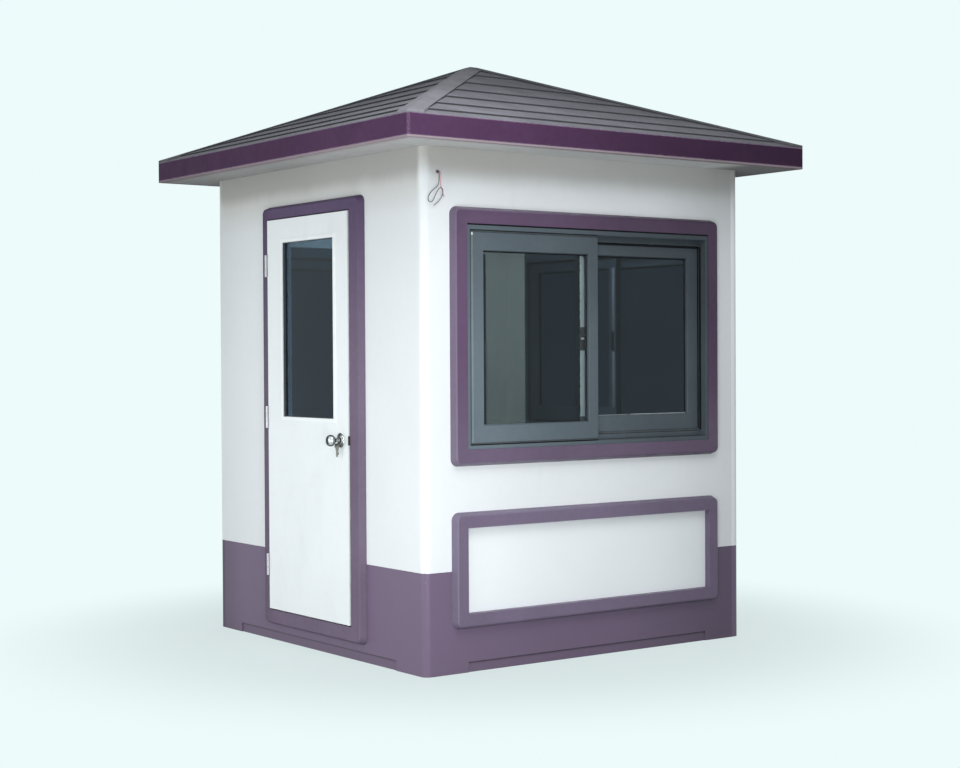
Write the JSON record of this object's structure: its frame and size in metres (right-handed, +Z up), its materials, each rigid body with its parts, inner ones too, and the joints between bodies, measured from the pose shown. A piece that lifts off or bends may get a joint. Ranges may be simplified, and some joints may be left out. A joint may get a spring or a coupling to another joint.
{
  "type": "security guard booth",
  "caption": "Free-standing guard booth of moulded panels with a hipped roof of lapped courses, a half-glazed hinged door, sliding windows and raised trim.",
  "frame": {"origin": "on the ground under the middle of the booth", "axes": "+Z up; -Y out of the front with the large sliding window; -X out of the side with the door"},
  "size_m": [2.232, 2.232, 2.722],
  "materials": {
    "aluminium_frame": "powder coated, satin",
    "door_frame": "satin",
    "door_panel": "satin",
    "floor": "matt",
    "floor_panel": "matt",
    "glass": "tinted",
    "grommet": "matt",
    "hinge_steel": "satin",
    "keys": "worn",
    "knob_chrome": "polished",
    "latch_plastic": "matt",
    "latch_steel": "brushed",
    "roof": "matt",
    "soffit": "matt",
    "trim": "satin",
    "wall": "gel coat, satin",
    "wire_dark": "satin",
    "wire_red": "satin"
  },
  "bodies": {
    "booth": {"back_fascia": "trim", "back_panel_surround": "trim", "back_wall": "wall", "back_window_frame": "aluminium_frame", "back_window_glass": "glass", "back_window_inner_sash": "aluminium_frame", "back_window_latch": "latch_plastic", "back_window_outer_sash": "aluminium_frame", "back_window_surround": "trim", "door_frame": "door_frame", "door_strike_plate": "latch_steel", "door_surround": "trim", "floor_deck": "floor", "floor_panel": "floor_panel", "front_fascia": "trim", "front_panel_surround": "trim", "front_wall": "wall", "front_window_frame": "aluminium_frame", "front_window_glass": "glass", "front_window_inner_sash": "aluminium_frame", "front_window_latch": "latch_plastic", "front_window_outer_sash": "aluminium_frame", "front_window_surround": "trim", "hinge_frame_halves": "hinge_steel", "left_fascia": "trim", "left_wall_back_pier": "wall", "left_wall_front_pier": "wall", "left_wall_head": "wall", "left_wall_sill": "wall", "right_fascia": "trim", "right_panel_surround": "trim", "right_wall": "wall", "right_window_frame": "aluminium_frame", "right_window_glass": "glass", "right_window_inner_sash": "aluminium_frame", "right_window_latch": "latch_plastic", "right_window_outer_sash": "aluminium_frame", "right_window_surround": "trim", "roof_back_slope": "roof", "roof_front_slope": "roof", "roof_hip_caps": "roof", "roof_left_slope": "roof", "roof_peak_cap": "roof", "roof_right_slope": "roof", "soffit": "soffit", "wire_dark": "wire_dark", "wire_grommet": "grommet", "wire_red": "wire_red"},
    "door": {"door_glass": "glass", "door_glass_bead": "door_panel", "door_keys": "keys", "door_latch_plate": "latch_steel", "door_leaf": "door_panel", "door_roses": "knob_chrome", "hinge_leaf_halves": "hinge_steel"},
    "knobs": {"door_knobs": "knob_chrome"}
  },
  "joints": [
    {"name": "door_swing", "type": "hinge", "parent": "booth", "child": "door", "pos_m": [-0.9415, 0.3435, 0.95], "axis": [0, 0, -1], "range_deg": [0, 170]},
    {"name": "knob_turn", "type": "hinge", "parent": "door", "child": "knobs", "pos_m": [-0.9125, -0.301, 0.965], "axis": [1, 0, 0], "range_deg": [-60, 60], "stiffness_Nm_per_rad": 0.3}
  ]
}
